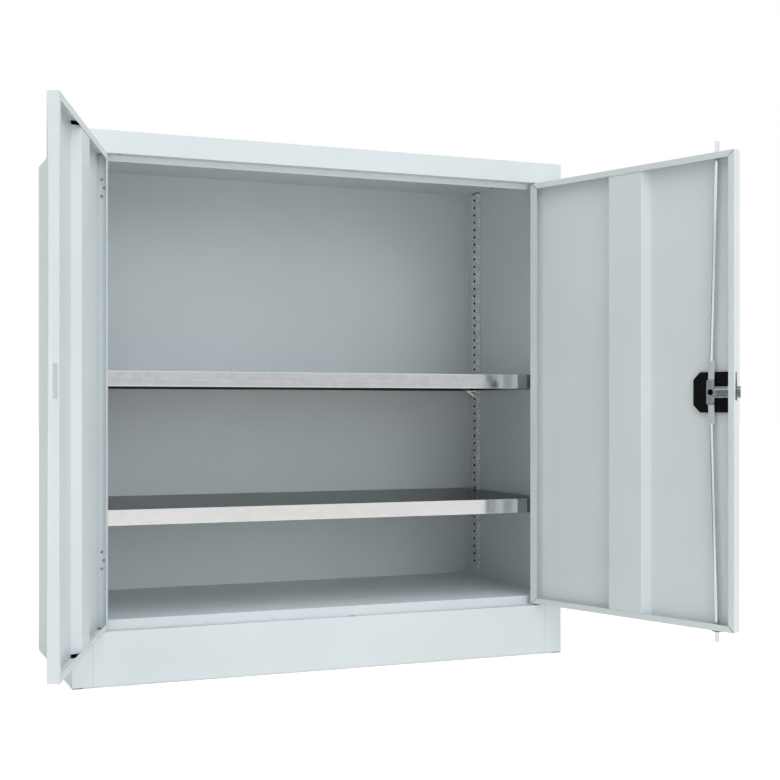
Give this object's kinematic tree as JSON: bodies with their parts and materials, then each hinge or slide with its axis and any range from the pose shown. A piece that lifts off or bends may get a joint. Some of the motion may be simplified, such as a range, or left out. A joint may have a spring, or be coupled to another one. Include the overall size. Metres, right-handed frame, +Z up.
{
  "type": "storage cabinet",
  "caption": "Low two-door office cabinet in light grey powder-coated sheet steel, doors open, with adjustable galvanised shelves and a three-point rod lock.",
  "frame": {"origin": "on the floor under the middle of the body", "axes": "+Z up, -Y out of the front, +X to the right of someone facing the open doors"},
  "size_m": [1.227, 0.8284, 1],
  "materials": {
    "powder_coat": "light grey fine powder coat, satin",
    "galvanised": "bright hot-dip galvanised sheet",
    "zinc_plate": "zinc plated steel",
    "black_plastic": "moulded black polyamide, satin",
    "nylon": "natural nylon"
  },
  "bodies": {
    "cabinet": {"left_side_panel": "powder_coat", "right_side_panel": "powder_coat", "top_panel": "powder_coat", "back_panel": "powder_coat", "floor_panel": "powder_coat", "plinth_front": "powder_coat", "rear_floor_rail": "powder_coat", "front_left_upright": "powder_coat", "front_right_upright": "powder_coat", "rear_left_upright": "powder_coat", "rear_right_upright": "powder_coat", "upper_shelf_clips": "galvanised", "lower_shelf_clips": "galvanised", "pivot_washers": "nylon", "floor_glides": "black_plastic"},
    "left_door": {"left_door_panel": "powder_coat", "left_door_stiffener": "powder_coat", "left_door_pivots": "zinc_plate", "left_door_rivets": "zinc_plate"},
    "right_door": {"right_door_panel": "powder_coat", "right_door_stiffener": "powder_coat", "right_door_pivots": "zinc_plate", "right_door_rivets": "zinc_plate", "rod_guides": "black_plastic", "lock_backplate": "black_plastic", "lock_escutcheon": "black_plastic"},
    "lock": {"lock_handle": "black_plastic", "lock_spindle": "black_plastic", "crank_plate": "zinc_plate"},
    "key_plug": {"key_plug": "zinc_plate"},
    "upper_rod": {"upper_rod": "zinc_plate"},
    "lower_rod": {"lower_rod": "zinc_plate"},
    "upper_shelf": {"upper_shelf": "galvanised"},
    "lower_shelf": {"lower_shelf": "galvanised"}
  },
  "joints": [
    {"name": "left_door_hinge", "type": "hinge", "parent": "cabinet", "child": "left_door", "pos_m": [-0.4505, -0.1958, 0.529], "axis": [0, 0, -1], "range_deg": [-110, 10]},
    {"name": "right_door_hinge", "type": "hinge", "parent": "cabinet", "child": "right_door", "pos_m": [0.4505, -0.1958, 0.529], "axis": [0, 0, 1], "range_deg": [-110, 10]},
    {"name": "lock_turn", "type": "hinge", "parent": "right_door", "child": "lock", "pos_m": [0.58135, -0.57225, 0.529], "axis": [-0.9397, -0.342, 0], "range_deg": [0, 90]},
    {"name": "upper_rod_pivot", "type": "hinge", "parent": "lock", "child": "upper_rod", "pos_m": [0.58135, -0.57225, 0.5485], "axis": [-0.9397, -0.342, 0], "range_deg": [-92.93, 0]},
    {"name": "lower_rod_pivot", "type": "hinge", "parent": "lock", "child": "lower_rod", "pos_m": [0.58135, -0.57225, 0.5095], "axis": [-0.9397, -0.342, 0], "range_deg": [-93.09, 0]},
    {"name": "key_turn", "type": "hinge", "parent": "lock", "child": "key_plug", "pos_m": [0.60954, -0.56199, 0.529], "axis": [-0.9397, -0.342, 0], "range_deg": [0, 90]},
    {"name": "upper_shelf_lift", "type": "slide", "parent": "cabinet", "child": "upper_shelf", "axis": [0, 0, 1], "range_m": [0, 0.05]},
    {"name": "lower_shelf_lift", "type": "slide", "parent": "cabinet", "child": "lower_shelf", "axis": [0, 0, 1], "range_m": [0, 0.05]}
  ],
  "couplings": [
    {"joint": "upper_rod_pivot", "follows": "lock_turn", "ratio": -1.0325},
    {"joint": "lower_rod_pivot", "follows": "lock_turn", "ratio": -1.0343}
  ]
}
